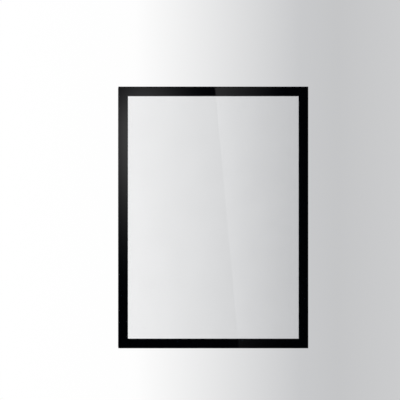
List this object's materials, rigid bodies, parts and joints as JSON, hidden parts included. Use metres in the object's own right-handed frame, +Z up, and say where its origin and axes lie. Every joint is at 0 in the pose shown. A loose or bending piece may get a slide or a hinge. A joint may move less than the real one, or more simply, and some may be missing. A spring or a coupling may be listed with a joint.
{
  "type": "magnetic display frame",
  "caption": "Flat black display frame that sticks to glass by its back panel and holds a paper sheet behind a clear front flap, which opens on a tape hinge and shuts on magnet strips.",
  "frame": {"origin": "middle of the frame as seen from the front, on the plane of the glass that the adhesive strips stick to", "axes": "+Z up the frame's long side, +Y into the glass, +X to the right as seen from the front, which faces -Y"},
  "size_m": [0.4614, 0.0037, 0.635],
  "materials": {
    "adhesive_gel": "clear tacky gel",
    "black_foil": "high gloss",
    "clear_film": "clear gloss",
    "zinc_steel": "zinc plated",
    "hinge_tape": "fine weave",
    "magnet_rubber": "matte, ribbed"
  },
  "bodies": {
    "back_panel": {"adhesive_strip_top": "adhesive_gel", "adhesive_strip_bottom": "adhesive_gel", "adhesive_strip_left": "adhesive_gel", "adhesive_strip_right": "adhesive_gel", "rear_border": "black_foil", "back_film": "clear_film", "steel_strip_top": "zinc_steel", "steel_strip_bottom": "zinc_steel", "steel_strip_left": "zinc_steel", "steel_strip_right": "zinc_steel", "hinge_leaf_fixed": "hinge_tape", "hinge_fold": "hinge_tape"},
    "flap": {"hinge_leaf_moving": "hinge_tape", "magnet_strip_top": "magnet_rubber", "magnet_strip_bottom": "magnet_rubber", "magnet_strip_left": "magnet_rubber", "magnet_strip_right": "magnet_rubber", "front_film": "clear_film", "front_border": "black_foil"}
  },
  "joints": [
    {"name": "flap_hinge", "type": "hinge", "parent": "back_panel", "child": "flap", "pos_m": [-0.23075, -0.0019, 0], "axis": [0, 0, -1], "range_deg": [0, 180]}
  ]
}
